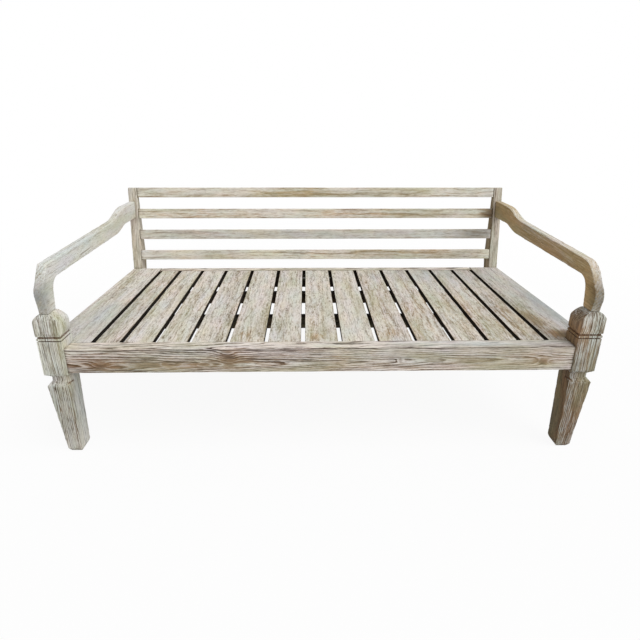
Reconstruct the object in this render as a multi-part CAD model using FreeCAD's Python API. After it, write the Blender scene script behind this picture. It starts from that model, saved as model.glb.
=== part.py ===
# A slatted wooden daybed: two carved front legs, two raked back posts, a seat of boards
# running from front to back, four back slats, and two sawn arms.
# Lengths are millimetres. X runs from left to right, Y from front to back, Z upwards.
# While the pieces are made, Y = 0 is the front face of the leg blocks. They are moved at
# the end, so that the origin is the bottom centre of the whole daybed.
import FreeCAD, Part
import math
import os

os.makedirs("parts", exist_ok=True)
Vector = FreeCAD.Vector

# Overall sizes
daybed_width = 2000.0      # across the outer faces of the two leg blocks
seat_height = 440.0        # floor to the top of the seat boards
back_height = 860.0        # floor to the top of the back
seat_depth = 1040.0        # front of the legs to the front of the posts, at the seat

# Edges, joints and cuts
arris_radius = 2.0         # worn rounding along the edges of a board
fit_gap = 0.5              # gap round a board that is dropped between others
tenon_gap = 0.25           # gap on each side of a tenon in its mortise
tenon_shoulder = 8.0       # wood left above and below a rail's tenon
tenon_spacing = 1.0        # how far a rail's tenon stays from the height where two rails cross
overrun = 20.0             # how far a cutting block runs past what it cuts

# Front legs
leg_size = 86.0
foot_outer_inset = 26.0
foot_inner_inset = 6.0
foot_front_inset = 12.0
foot_rear_inset = 5.0
taper_inset = 2.0          # at the widest height of the lower leg
neck_inset = 19.0
neck_front_inset = 14.0
neck_notch_depth = 10.0    # of the stopped notch on the inner face
neck_notch_run = 34.0
neck_height = 15.0
upper_cove_height = 14.0
lower_cove_height = 18.0
block_below_rail = 5.0
block_above_seat = 30.0
lower_groove_height = 3.0
upper_groove_height = 6.0
groove_depth = 4.5
ring_height = 9.0
bulb_height = 84.0
bulb_swell = 7.0
bulb_front_swell = 4.0
bulb_rear_swell = -3.0     # the rear of the bulb draws in instead
bulb_corner_radius = 20.0
bulb_lip = 1.0             # flat left round the foot of the arm
bulb_widest_share = 0.3    # of the bulb's height

# Rails
rail_height = 95.0
front_rail_thickness = 58.0
front_rail_recess = 4.0
back_rail_thickness = 50.0
side_rail_thickness = 40.0
front_tenon_thickness = 20.0
front_tenon_length = 50.0
side_tenon_thickness = 16.0
side_tenon_front_length = 38.0
side_tenon_rear_length = 30.0
back_tenon_thickness = 18.0
back_tenon_length = 30.0

# Seat boards and what carries them
board_thickness = 20.0
seat_edge_inset = 4.0      # seat edge and posts, in from the leg blocks
slat_gap = 16.0
slat_gap_shares = (0.069, 0.205, 0.346, 0.486, 0.613, 0.733, 0.837)   # of the seat's half width
seat_flare = 15.0          # how much further out an end board reaches at the leg
end_board_round = 6.0
ledger_width = 25.0
ledger_height = 30.0
bearer_width = 42.0
bearer_height = 50.0
bearer_stub = 15.0
bearer_place_shares = (0.358, 0.657)    # of the seat's depth

# Back posts
post_thickness = 46.0
post_lean = 72.0           # how far the front face leans back from the seat to the top
post_top_depth = 24.0
post_leg_depth = 90.0
post_foot_inset = 12.0
post_foot_depth = 66.0
post_knee_below_rail = 45.0
post_waist_above_seat = 40.0
post_curve_radius = 140.0

# Back slats, named from the top down
back_member_names = ("back_top_rail", "back_slat_upper", "back_slat_middle", "back_slat_lower")
back_slat_height = 50.0
back_slat_thickness = 20.0
lowest_slat_gap = 46.7     # between the seat and the lowest slat
back_slat_recess = 1.5
slat_tenon_thickness = 10.0
slat_tenon_length = 20.0
slat_tenon_shoulder = 6.0

# Arms
arm_thickness = 32.0
arm_top_share = 0.757      # of the height from the bulbs to the top of the back
arm_foot_tenon_length = 30.0
arm_tenon_thickness = 12.0
arm_tenon_shoulder = 14.0
arm_tenon_length = 24.0
# Corners of the arm's outline: place, height and turning radius. Heights are shares of the
# arm's rise over the bulb. At the foot and the neck the places are shares of the leg's size
# and the radii shares of the rise. Along the top and the underside both are shares of the
# arm's reach. The two arms were sawn and worn by hand, so their front corners differ.
arm_foot_shares = (0.047, 0.744)
arm_right_neck_shares = ((-0.093, 0.289, 0.275), (0.872, 0.739, 0.459))
arm_left_neck_shares = ((-0.070, 0.381, 0.22), (0.674, 0.757, 0.08))
arm_neck_rear_share = (0.930, 0.482, 0.206)
arm_top_shares = ((0.695, 0.826, 0.273), (0.814, 0.995, 0.273))
arm_underside_shares = ((0.823, 0.628, 0.273), (0.718, 0.514, 0.273))
arm_end_underside_share = 0.615

# Wooden pegs
peg_radius = 5.0
peg_cover = 12.0           # wood left in front of a peg's blind end
thin_peg_radius = 3.0
thin_peg_cover = 4.0

# Screws under the seat boards and through the ledgers
screw_length = 35.0
screw_bite = 13.0          # how far a screw runs into a seat board
screw_radius = 2.0
screw_head_radius = 4.0
screw_head_height = 3.0
screw_gap = 0.15
ledger_screw_length = 45.0
slat_screw_shares = (0.25, 0.75)        # of a slat's width
end_board_screw_shares = (0.12, 0.33)   # of an end board's width

# Heights that several pieces share
board_underside = seat_height - board_thickness
rail_bottom = seat_height - rail_height
tenon_split = (rail_bottom + board_underside) / 2
upper_tenon_z = (tenon_split + tenon_spacing, board_underside - tenon_shoulder)
lower_tenon_z = (rail_bottom + tenon_shoulder, tenon_split - tenon_spacing)
upper_peg_z = sum(upper_tenon_z) / 2
lower_peg_z = sum(lower_tenon_z) / 2
block_bottom = rail_bottom - block_below_rail
neck_top = block_bottom - upper_cove_height
neck_bottom = neck_top - neck_height
taper_top = neck_bottom - lower_cove_height
block_top = seat_height + block_above_seat
ring_bottom = block_top + lower_groove_height
ring_top = ring_bottom + ring_height
bulb_bottom = ring_top + upper_groove_height
bulb_top = bulb_bottom + bulb_height
arm_top_height = bulb_top + arm_top_share * (back_height - bulb_top)
post_knee_height = rail_bottom - post_knee_below_rail
post_waist_height = seat_height + post_waist_above_seat

# Places across the daybed, for the right-hand side
leg_outer = daybed_width / 2
leg_inner = leg_outer - leg_size
leg_centre = leg_outer - leg_size / 2
seat_edge = leg_outer - seat_edge_inset
post_inner = seat_edge - post_thickness
post_centre = seat_edge - post_thickness / 2
side_rail_inner = post_centre - side_rail_thickness / 2
side_rail_outer = post_centre + side_rail_thickness / 2
gap_centres = [share * seat_edge for share in slat_gap_shares]
end_board_inner = gap_centres[-1] + slat_gap / 2

# Places from front to back
front_rail_back = front_rail_recess + front_rail_thickness
front_tenon_y = front_rail_recess + front_rail_thickness / 2
back_rail_front = seat_depth - back_rail_thickness
back_tenon_y = seat_depth - back_rail_thickness / 2
post_back = seat_depth + post_lean + post_top_depth
bearer_places = [share * seat_depth for share in bearer_place_shares]

# The raked front of the posts
rake = math.atan2(post_lean, back_height - seat_height)
up_the_rake = Vector(0, math.sin(rake), math.cos(rake))
off_the_rake = Vector(0, math.cos(rake), -math.sin(rake))

# The arm's foot, reach and splay
arm_foot_front, arm_foot_rear = [share * leg_size for share in arm_foot_shares]
arm_foot_centre = (arm_foot_front + arm_foot_rear) / 2
arm_rise = arm_top_height - bulb_top
arm_end_underside = bulb_top + arm_end_underside_share * arm_rise
arm_reach = seat_depth + (arm_top_height - seat_height) * math.tan(rake)
arm_end_x = seat_edge - arm_thickness / 2
arm_splay = math.degrees(math.atan2(arm_end_x - leg_centre, arm_reach - arm_foot_centre))


def post_front(z):
    """Y of the posts' front face at height z."""
    return seat_depth + (z - seat_height) * math.tan(rake)


def box(x, y, z):
    """A block between a low and a high place along each axis."""
    block = Part.makeBox(x[1] - x[0], y[1] - y[0], z[1] - z[0])
    block.translate(Vector(x[0], y[0], z[0]))
    return block


def grown(place, gap):
    """A (low, high) pair widened by a gap at both ends."""
    return (place[0] - gap, place[1] + gap)


def round_edges(solid, along, radius, chosen=lambda middle: True):
    """Round the straight edges that run along a direction and are chosen by their middle."""
    edges = []
    for edge in solid.Edges:
        start, end = edge.Vertexes[0].Point, edge.Vertexes[-1].Point
        run = end - start
        if run.cross(along).Length < run.Length * 1e-6 and chosen((start + end) / 2):
            edges.append(edge)
    return solid.makeFillet(radius, edges)


def board(x, y, z, along):
    """A sawn board, with its long edges slightly rounded."""
    thinnest = min(pair[1] - pair[0] for pair in (x, y, z))
    return round_edges(box(x, y, z), along, min(arris_radius, thinnest / 4))


def prism(steps, place, run):
    """Push a closed outline along a vector. A step (u, z) is a straight side to that point,
    and (u, z, u, z) is an arc through the first point to the second. place turns u and z
    into a point in space."""
    edges = []
    last = place(*steps[-1][-2:])
    for step in steps:
        end = place(*step[-2:])
        if len(step) == 2:
            edges.append(Part.LineSegment(last, end).toShape())
        else:
            edges.append(Part.Arc(last, place(*step[:2]), end).toShape())
        last = end
    return Part.Face(Part.Wire(edges)).extrude(run)


def rounded_steps(corners):
    """Turn corners (u, z, radius) into the steps of an outline, with an arc at each corner."""
    steps = []
    for index, (u, z, radius) in enumerate(corners):
        if not radius:
            steps.append((u, z))
            continue
        before, after = corners[index - 1], corners[(index + 1) % len(corners)]
        corner = Vector(u, z, 0)
        back = (Vector(before[0], before[1], 0) - corner).normalize()
        on = (Vector(after[0], after[1], 0) - corner).normalize()
        half = back.getAngle(on) / 2
        reach = radius / math.tan(half)
        start, end = corner + back * reach, corner + on * reach
        middle = corner + (back + on).normalize() * (radius / math.sin(half) - radius)
        steps.append((start.x, start.y))
        steps.append((middle.x, middle.y, end.x, end.y))
    return steps


def peg(start, along, length, radius):
    """A round peg from a point, along a direction."""
    return Part.makeCylinder(radius, length, start, along)


def mirrored(solid):
    """The left-hand twin of a right-hand piece."""
    return solid.mirror(Vector(0, 0, 0), Vector(1, 0, 0))


def across(y, z, low_x):
    """A point of a side view, on the plane X = low_x."""
    return Vector(low_x, y, z)


# Screws

def screw(head, along, length, gap=0.0):
    """A countersunk wood screw from the flat of its head. With a gap it is its own hole."""
    cone = Part.makeCone(screw_head_radius + gap, screw_radius + gap, screw_head_height, head, along)
    shank = Part.makeCylinder(screw_radius + gap, length + gap, head, along)
    return cone.fuse(shank).removeSplitter()


def board_screw_places():
    """X of the screws under each board: a list for every slat, then for the end boards."""
    edges = [-place for place in reversed(gap_centres)] + gap_centres
    slats = []
    for left, right in zip(edges[:-1], edges[1:]):
        width = right - left - slat_gap
        slats.append([left + slat_gap / 2 + share * width for share in slat_screw_shares])
    width = seat_edge - end_board_inner
    right_end = [end_board_inner + share * width for share in end_board_screw_shares]
    left_end = [-place for place in right_end]
    return slats, left_end, right_end


slat_screw_x, left_end_screw_x, right_end_screw_x = board_screw_places()
all_screw_x = left_end_screw_x + [x for pair in slat_screw_x for x in pair] + right_end_screw_x
screw_head_z = board_underside - (screw_length - screw_bite)
front_ledger_y = (front_rail_back, front_rail_back + ledger_width)
back_ledger_y = (back_rail_front - ledger_width, back_rail_front)
screw_rows = [sum(front_ledger_y) / 2] + bearer_places + [sum(back_ledger_y) / 2]
ledger_screw_x = [side * place for place in gap_centres[::2] for side in (-1, 1)]
ledger_screw_z = board_underside - ledger_height / 2


def board_screw(x, y, gap=0.0):
    return screw(Vector(x, y, screw_head_z), Vector(0, 0, 1), screw_length, gap)


def board_screw_row(y):
    return [board_screw(x, y) for x in all_screw_x]


def board_screw_holes(places, y):
    return [board_screw(x, y, screw_gap) for x in places]


def counterbores(y, bottom):
    """Wide holes that let the screws' heads in from below."""
    start = bottom - overrun
    depth = screw_head_z - start
    radius = screw_head_radius + screw_gap
    return [Part.makeCylinder(radius, depth, Vector(x, y, start)) for x in all_screw_x]


def ledger_screws(face_y, towards, gap=0.0):
    """Screws through a ledger, from its free face into the rail that it is fixed to."""
    along = Vector(0, towards, 0)
    return [screw(Vector(x, face_y, ledger_screw_z), along, ledger_screw_length, gap)
            for x in ledger_screw_x]


# Tenons of the rails, each with the mortise that takes it

def front_tenon(gap=0.0):
    """Right-hand tenon of the front rail, in the leg's inner face."""
    half = front_tenon_thickness / 2
    x = (leg_inner, leg_inner + front_tenon_length + gap)
    return box(x, grown((front_tenon_y - half, front_tenon_y + half), gap), grown(upper_tenon_z, gap))


def back_tenon(gap=0.0):
    """Right-hand tenon of the back rail, in the post's inner face."""
    half = back_tenon_thickness / 2
    x = (post_inner, post_inner + back_tenon_length + gap)
    return box(x, grown((back_tenon_y - half, back_tenon_y + half), gap), grown(upper_tenon_z, gap))


def side_tenon(y, gap=0.0):
    """Tenon at either end of a side rail, between two places along Y."""
    half = side_tenon_thickness / 2
    return box(grown((post_centre - half, post_centre + half), gap), y, grown(lower_tenon_z, gap))


def side_front_tenon(gap=0.0):
    return side_tenon((leg_size - side_tenon_front_length - gap, leg_size), gap)


def side_rear_tenon(gap=0.0):
    return side_tenon((back_rail_front, back_rail_front + side_tenon_rear_length + gap), gap)


def bearer_stub_tenon(y, gap=0.0):
    """Right-hand stub of a cross bearer, in the side rail's inner face."""
    half = (bearer_width - bearer_stub) / 2
    z = (board_underside - bearer_height + tenon_shoulder, board_underside - tenon_shoulder)
    x = (side_rail_inner, side_rail_inner + bearer_stub + gap)
    return box(x, grown((y - half, y + half), gap), grown(z, gap))


# Arms

def splayed(solid):
    """Turn the right arm outwards about the middle of its foot."""
    pivot = Vector(leg_centre, arm_foot_centre, 0)
    solid.rotate(pivot, Vector(0, 0, 1), -arm_splay)
    return solid


def arm_block(steps, thickness):
    low = leg_centre - thickness / 2
    return splayed(prism(steps, lambda y, z: across(y, z, low), Vector(thickness, 0, 0)))


def arm_corners(neck_shares):
    """Corners of an arm in side view, from the foot up the front and back along the underside."""
    def placed(shares, reach, turn_scale):
        return [(y * reach, bulb_top + z * arm_rise, turn * turn_scale) for y, z, turn in shares]

    end_y = arm_reach + overrun
    corners = [(arm_foot_front, bulb_top, 0)] + placed(neck_shares, leg_size, arm_rise)
    corners += placed(arm_top_shares, arm_reach, arm_reach)
    corners += [(end_y, arm_top_height, 0), (end_y, arm_end_underside, 0)]
    corners += placed(arm_underside_shares, arm_reach, arm_reach)
    corners += placed([arm_neck_rear_share], leg_size, arm_rise)
    return corners + [(arm_foot_rear, bulb_top, 0)]


def behind_post_front():
    """Everything behind the raked face of the posts, wide enough to trim an arm."""
    low, high = seat_height - overrun, back_height + overrun
    back = post_back + overrun
    steps = [(post_front(low), low), (post_front(high), high), (back, high), (back, low)]
    start = post_inner - overrun
    width = leg_outer + overrun - start
    return prism(steps, lambda y, z: across(y, z, start), Vector(width, 0, 0))


def arm_foot_tenon(gap=0.0):
    inset = (arm_foot_rear - arm_foot_front) / 5
    y = grown((arm_foot_front + inset, arm_foot_rear - inset), gap)
    low, high = bulb_top - arm_foot_tenon_length - gap, bulb_top + arm_tenon_shoulder
    steps = [(y[0], low), (y[1], low), (y[1], high), (y[0], high)]
    return arm_block(steps, arm_tenon_thickness + 2 * gap)


def arm_end_tenon(gap=0.0):
    low = arm_end_underside + arm_tenon_shoulder
    high = arm_top_height - arm_tenon_shoulder
    z = grown((low, high), gap)
    middle = post_front((low + high) / 2)
    y = (middle - arm_tenon_length, middle + arm_tenon_length + gap)
    steps = [(y[0], z[0]), (y[1], z[0]), (y[1], z[1]), (y[0], z[1])]
    return arm_block(steps, arm_tenon_thickness + 2 * gap)


def arm_end_peg(gap=0.0):
    """Thin peg from the post's outer face through the arm's rear tenon."""
    z = arm_top_height - 2 * arm_tenon_shoulder
    start = Vector(seat_edge, post_front(z) + arm_tenon_length / 2, z)
    length = arm_thickness / 2 + arm_tenon_thickness / 2 + gap
    return peg(start, Vector(-1, 0, 0), length, thin_peg_radius + gap)


def arm_foot_peg(gap=0.0):
    """Thin peg from the bulb's outer side through the arm's foot tenon."""
    start = Vector(leg_outer + overrun, arm_foot_centre, bulb_top - arm_foot_tenon_length / 2)
    length = leg_outer + overrun - leg_centre + arm_tenon_thickness + gap
    return peg(start, Vector(-1, 0, 0), length, thin_peg_radius + gap)


def right_hand_arm(neck_shares):
    steps = rounded_steps(arm_corners(neck_shares))
    body = arm_block(steps, arm_thickness).cut(behind_post_front())
    body = body.fuse([arm_foot_tenon(), arm_end_tenon()]).removeSplitter()
    return body.cut([arm_foot_peg(tenon_gap), arm_end_peg(tenon_gap)])


# Front legs

def leg_upper_steps(inner, outer, inner_top, outer_top, inner_swell, outer_swell):
    """Grooves, ring and bulb of a leg, up the outer side and down the inner side."""
    widest = bulb_bottom + bulb_widest_share * bulb_height
    steps = []
    for sign, edge in ((1, outer), (-1, inner)):
        cut = edge - sign * groove_depth
        side = [(edge, block_top), (cut, block_top), (cut, ring_bottom), (edge, ring_bottom)]
        side += [(edge, ring_top), (cut, ring_top), (cut, bulb_bottom), (edge, bulb_bottom)]
        if sign > 0:
            steps += side + [(outer + outer_swell, widest, outer_top, bulb_top)]
        else:
            steps += [(inner_top, bulb_top), (inner - inner_swell, widest, inner, bulb_bottom)]
            steps += side[-2::-1]
    return steps


def leg_front_view():
    """Outline of the right leg seen from the front."""
    inner, outer = leg_inner, leg_outer
    steps = [(inner, taper_top), (inner + foot_inner_inset, 0), (outer - foot_outer_inset, 0)]
    steps += [(outer - taper_inset, taper_top)]
    steps += [(outer - neck_inset, neck_bottom), (outer - neck_inset, neck_top)]
    steps += [(outer, block_bottom)]
    half = arm_thickness / 2 + bulb_lip
    steps += leg_upper_steps(inner, outer, leg_centre - half, leg_centre + half,
                             bulb_swell, bulb_swell)
    return prism(steps, lambda x, z: Vector(x, -overrun, z), Vector(0, leg_size + 2 * overrun, 0))


def leg_side_view():
    """Outline of the right leg seen from the side."""
    steps = [(foot_front_inset, 0), (leg_size - foot_rear_inset, 0), (leg_size, taper_top)]
    steps += leg_upper_steps(0, leg_size, arm_foot_front - bulb_lip, arm_foot_rear + bulb_lip,
                             bulb_front_swell, bulb_rear_swell)
    steps += [(0, block_bottom), (neck_front_inset, neck_top), (neck_front_inset, neck_bottom)]
    steps += [(taper_inset, taper_top)]
    low = leg_inner - overrun
    return prism(steps, lambda y, z: across(y, z, low), Vector(leg_size + 2 * overrun, 0, 0))


def bulb_corner_waste():
    """What is carved off the bulb's four upright corners."""
    x, y = (leg_inner - bulb_swell, leg_outer + bulb_swell), (-bulb_front_swell, leg_size)
    z = (bulb_bottom, bulb_top)
    core = round_edges(box(x, y, z), Vector(0, 0, 1), bulb_corner_radius)
    return box(grown(x, overrun), grown(y, overrun), z).cut(core)


def neck_notch():
    """Stopped notch that carries the neck a little way round the leg's inner face."""
    low, high = neck_bottom - lower_cove_height / 2, neck_top + upper_cove_height / 2
    corners = [(leg_inner - overrun, -overrun), (leg_inner + neck_notch_depth, -overrun)]
    corners += [(leg_inner + neck_notch_depth, 0), (leg_inner, neck_notch_run)]
    corners += [(leg_inner - overrun, neck_notch_run)]
    return prism(corners, lambda x, y: Vector(x, y, low), Vector(0, 0, high - low))


def front_peg(gap=0.0):
    """Peg from the leg's rear face through the front rail's tenon."""
    x = leg_inner + front_tenon_length / 3
    start = Vector(x, leg_size, upper_peg_z)
    return peg(start, Vector(0, -1, 0), leg_size - peg_cover + gap, peg_radius + gap)


def side_front_peg(gap=0.0):
    """Peg from the leg's outer face through the side rail's front tenon."""
    start = Vector(leg_outer, leg_size - side_tenon_front_length / 2, lower_peg_z)
    return peg(start, Vector(-1, 0, 0), leg_size - peg_cover + gap, peg_radius + gap)


def right_front_leg():
    leg = leg_front_view().common(leg_side_view())
    waste = [bulb_corner_waste(), neck_notch()]
    mortises = [front_tenon(tenon_gap), side_front_tenon(tenon_gap), arm_foot_tenon(tenon_gap)]
    pegs = [front_peg(tenon_gap), side_front_peg(tenon_gap), arm_foot_peg(tenon_gap)]
    return leg.cut(waste).cut(mortises + pegs)


# Back posts

def post_blank():
    """The post as it is sawn out, before its joints are cut."""
    lower_front = back_rail_front
    foot_front = lower_front + post_foot_inset
    corners = [(foot_front, 0, 0), (lower_front, post_knee_height, 0), (lower_front, board_underside, 0)]
    corners += [(seat_depth, board_underside, 0), (seat_depth, seat_height, 0)]
    corners += [(post_front(back_height), back_height, 0)]
    corners += [(post_back, back_height - post_top_depth * math.tan(rake), 0)]
    corners += [(post_back, post_waist_height, post_curve_radius)]
    corners += [(lower_front + post_leg_depth, post_knee_height, post_curve_radius)]
    corners += [(foot_front + post_foot_depth, 0, 0)]
    steps = rounded_steps(corners)
    return prism(steps, lambda y, z: across(y, z, post_inner), Vector(post_thickness, 0, 0))


def back_slat_heights():
    """Height of the middle of each back member on the posts' front face, from the top down."""
    half_level = back_slat_height * math.cos(rake) / 2
    top = back_height - half_level
    lowest = seat_height + lowest_slat_gap + half_level
    pitch = (top - lowest) / (len(back_member_names) - 1)
    return [top - index * pitch for index in range(len(back_member_names))]


def raked_block(z, height, near, far, x):
    """A block between two depths behind the posts' front face, across a span of X."""
    middle = Vector(0, post_front(z), z)
    low, high = middle - up_the_rake * (height / 2), middle + up_the_rake * (height / 2)
    points = [low + off_the_rake * near, high + off_the_rake * near]
    points += [high + off_the_rake * far, low + off_the_rake * far]
    steps = [(point.y, point.z) for point in points]
    return prism(steps, lambda y, z: across(y, z, x[0]), Vector(x[1] - x[0], 0, 0))


def back_slat_tenon(z, gap=0.0):
    """Right-hand tenon of a back slat, in the post's inner face."""
    middle = back_slat_recess + back_slat_thickness / 2
    half = slat_tenon_thickness / 2 + gap
    height = back_slat_height - 2 * slat_tenon_shoulder + 2 * gap
    x = (post_inner, post_inner + slat_tenon_length + gap)
    return raked_block(z, height, middle - half, middle + half, x)


def back_slat_peg(z, gap=0.0):
    """Thin peg from behind, through the post and a back slat's tenon."""
    x = post_inner + slat_tenon_length / 2
    start = Vector(x, post_front(z), z) + off_the_rake * (thin_peg_cover - gap)
    return peg(start, off_the_rake, post_leg_depth, thin_peg_radius + gap)


def side_rear_peg(gap=0.0):
    """Peg from the post's outer face through the side rail's rear tenon."""
    start = Vector(seat_edge, back_rail_front + side_tenon_rear_length / 2, lower_peg_z)
    return peg(start, Vector(-1, 0, 0), post_thickness - peg_cover / 2 + gap, peg_radius + gap)


def back_peg(gap=0.0):
    """Peg from behind, through the post and the back rail's tenon."""
    x = post_inner + back_tenon_length / 2
    start = Vector(x, back_rail_front + peg_cover - gap, upper_peg_z)
    return peg(start, Vector(0, 1, 0), post_leg_depth + post_lean, peg_radius + gap)


def right_back_post():
    mortises = [back_slat_tenon(z, tenon_gap) for z in back_slat_heights()]
    mortises += [back_tenon(tenon_gap), side_rear_tenon(tenon_gap), arm_end_tenon(tenon_gap)]
    pegs = [back_slat_peg(z, tenon_gap) for z in back_slat_heights()]
    pegs += [back_peg(tenon_gap), side_rear_peg(tenon_gap), arm_end_peg(tenon_gap)]
    return post_blank().cut(mortises + pegs)


# Rails and bearers

def both_ends(right_piece):
    return [right_piece, mirrored(right_piece)]


def front_rail():
    rail = board((-leg_inner, leg_inner), (front_rail_recess, front_rail_back),
                 (rail_bottom, seat_height), Vector(1, 0, 0))
    rail = rail.fuse(both_ends(front_tenon())).removeSplitter()
    holes = both_ends(front_peg(tenon_gap)) + ledger_screws(front_ledger_y[1], -1, screw_gap)
    return rail.cut(holes)


def back_rail():
    """Its ends are rebated, so that the end boards run over them to the posts."""
    rail = board((-post_inner, post_inner), (back_rail_front, seat_depth),
                 (rail_bottom, seat_height), Vector(1, 0, 0))
    rebate = box((end_board_inner - fit_gap, post_inner + overrun),
                 (back_rail_front - overrun, seat_depth + overrun),
                 (board_underside, seat_height + overrun))
    rail = rail.cut(both_ends(rebate)).fuse(both_ends(back_tenon())).removeSplitter()
    holes = both_ends(back_peg(tenon_gap)) + ledger_screws(back_ledger_y[0], 1, screw_gap)
    return rail.cut(holes)


def right_side_rail():
    rail = board((side_rail_inner, side_rail_outer), (leg_size, back_rail_front),
                 (rail_bottom, board_underside), Vector(0, 1, 0))
    rail = rail.fuse([side_front_tenon(), side_rear_tenon()]).removeSplitter()
    cuts = [bearer_stub_tenon(y, tenon_gap) for y in bearer_places]
    cuts += [side_front_peg(tenon_gap), side_rear_peg(tenon_gap)]
    return rail.cut(cuts)


def ledger(x_end, y, free_face, towards):
    """A strip that carries the ends of the seat boards, fixed to a rail."""
    bottom = board_underside - ledger_height
    strip = box((-x_end, x_end), y, (bottom, board_underside))
    row = sum(y) / 2
    holes = board_screw_holes(all_screw_x, row) + counterbores(row, bottom)
    return strip.cut(holes + ledger_screws(free_face, towards, screw_gap))


def cross_bearer(y):
    bottom = board_underside - bearer_height
    half = bearer_width / 2
    bearer = board((-side_rail_inner, side_rail_inner), (y - half, y + half),
                   (bottom, board_underside), Vector(1, 0, 0))
    bearer = bearer.fuse(both_ends(bearer_stub_tenon(y))).removeSplitter()
    return bearer.cut(board_screw_holes(all_screw_x, y) + counterbores(y, bottom))


# Seat boards

def screw_holes_under(places):
    return [hole for row in screw_rows for hole in board_screw_holes(places, row)]


def seat_slats():
    edges = [-place for place in reversed(gap_centres)] + gap_centres
    y = (front_rail_back + fit_gap, back_rail_front - fit_gap)
    slats = []
    for left, right, places in zip(edges[:-1], edges[1:], slat_screw_x):
        x = (left + slat_gap / 2, right - slat_gap / 2)
        slat = board(x, y, (board_underside, seat_height), Vector(0, 1, 0))
        slats.append(slat.cut(screw_holes_under(places)))
    return slats


def right_end_board():
    """Wide board along the seat's edge, notched round the leg."""
    front, back = front_rail_back + fit_gap, seat_depth - fit_gap
    inner, outer = end_board_inner, seat_edge
    at_leg_x, at_leg_y = leg_inner - fit_gap, leg_size + fit_gap
    flared = outer + seat_flare
    plan = [(inner, front), (at_leg_x, front), (at_leg_x, at_leg_y), (flared, at_leg_y)]
    plan += [(outer, back), (inner, back)]
    plank = prism(plan, lambda x, y: Vector(x, y, board_underside), Vector(0, 0, board_thickness))
    middle_z = board_underside + board_thickness / 2
    outer_run = Vector(outer - flared, back - at_leg_y, 0).normalize()
    plank = round_edges(plank, outer_run, min(end_board_round, board_thickness / 2),
                        lambda at: at.x > side_rail_outer and at.z > middle_z)
    plank = round_edges(plank, Vector(0, 1, 0), arris_radius,
                        lambda at: at.x < (inner + at_leg_x) / 2)
    return plank.cut(screw_holes_under(right_end_screw_x))


# Back slats

def back_member(z):
    """A back slat with a tenon at each end."""
    span = (-post_inner, post_inner)
    slat = raked_block(z, back_slat_height, back_slat_recess,
                       back_slat_recess + back_slat_thickness, span)
    slat = round_edges(slat, Vector(1, 0, 0), min(arris_radius, back_slat_thickness / 4))
    slat = slat.fuse(both_ends(back_slat_tenon(z))).removeSplitter()
    return slat.cut(both_ends(back_slat_peg(z, tenon_gap)))


def flush_pegs(pegs, blank):
    """Pegs trimmed flush with the face that they were driven into."""
    return [solid for piece in pegs for solid in piece.common(blank).Solids]


# The nodes, each a list of solids

def all_nodes():
    nodes = {}
    for name, piece in (("front_leg", right_front_leg()), ("back_post", right_back_post()),
                        ("side_rail", right_side_rail()), ("seat_end_board", right_end_board())):
        nodes[name + "_right"] = [piece]
        nodes[name + "_left"] = [mirrored(piece)]
    nodes["arm_right"] = [right_hand_arm(arm_right_neck_shares)]
    nodes["arm_left"] = [mirrored(right_hand_arm(arm_left_neck_shares))]
    nodes["front_rail"] = [front_rail()]
    nodes["back_rail"] = [back_rail()]
    nodes["front_ledger"] = [ledger(leg_inner - fit_gap, front_ledger_y, front_ledger_y[1], -1)]
    nodes["back_ledger"] = [ledger(side_rail_inner - fit_gap, back_ledger_y, back_ledger_y[0], 1)]
    nodes["cross_bearer_front"] = [cross_bearer(bearer_places[0])]
    nodes["cross_bearer_rear"] = [cross_bearer(bearer_places[1])]
    for number, slat in enumerate(seat_slats(), 1):
        nodes["seat_slat_%02d" % number] = [slat]
    for name, z in zip(back_member_names, back_slat_heights()):
        nodes[name] = [back_member(z)]
    blank = post_blank()
    leg_blank = leg_front_view().common(leg_side_view())
    slat_pegs = flush_pegs([back_slat_peg(z) for z in back_slat_heights()], blank)
    rail_pegs = flush_pegs([back_peg()], blank.fuse(back_rail()))
    foot_pegs = flush_pegs([arm_foot_peg()], leg_blank)
    for name, pegs in (("front_rail_pegs", [front_peg()]), ("back_rail_pegs", rail_pegs),
                       ("side_rail_pegs", [side_front_peg(), side_rear_peg()]),
                       ("back_slat_pegs", slat_pegs), ("arm_pegs", [arm_end_peg()] + foot_pegs)):
        nodes[name] = pegs + [mirrored(piece) for piece in pegs]
    rows = ("slat_screws_front", "bearer_screws_front", "bearer_screws_rear", "slat_screws_rear")
    for name, y in zip(rows, screw_rows):
        nodes[name] = board_screw_row(y)
    nodes["front_ledger_screws"] = ledger_screws(front_ledger_y[1], -1)
    nodes["back_ledger_screws"] = ledger_screws(back_ledger_y[0], 1)
    return nodes


def write_parts():
    nodes = all_nodes()
    whole = Part.makeCompound([solid for solids in nodes.values() for solid in solids])
    room = whole.optimalBoundingBox(False, False)
    to_origin = Vector(0, -(room.YMin + room.YMax) / 2, 0)
    for name, solids in nodes.items():
        shape = solids[0] if len(solids) == 1 else Part.makeCompound(solids)
        shape.translate(to_origin)
        shape.exportStep("parts/%s.step" % name)
    print("overall size %.1f x %.1f x %.1f mm" % (room.XLength, room.YLength, room.ZLength))
    print("moved by %.3f mm along Y, %d nodes" % (to_origin.y, len(nodes)))


write_parts()
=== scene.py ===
# %% [markdown]
# # A slatted teak daybed
# The daybed is a long seat of fifteen boards on two carved front legs and two raked posts,
# with four slats for a back and two sawn arms. The wood is old teak, brushed until its grain
# stands up, and whitewashed by hand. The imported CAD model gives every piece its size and
# place. This script only dresses those pieces: it wears their edges, lifts their grain,
# paints them, and sets up a plain studio. Everything is in metres.

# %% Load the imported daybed
import math

import bmesh
import bpy
import numpy as np
from mathutils import Matrix, Vector


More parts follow.
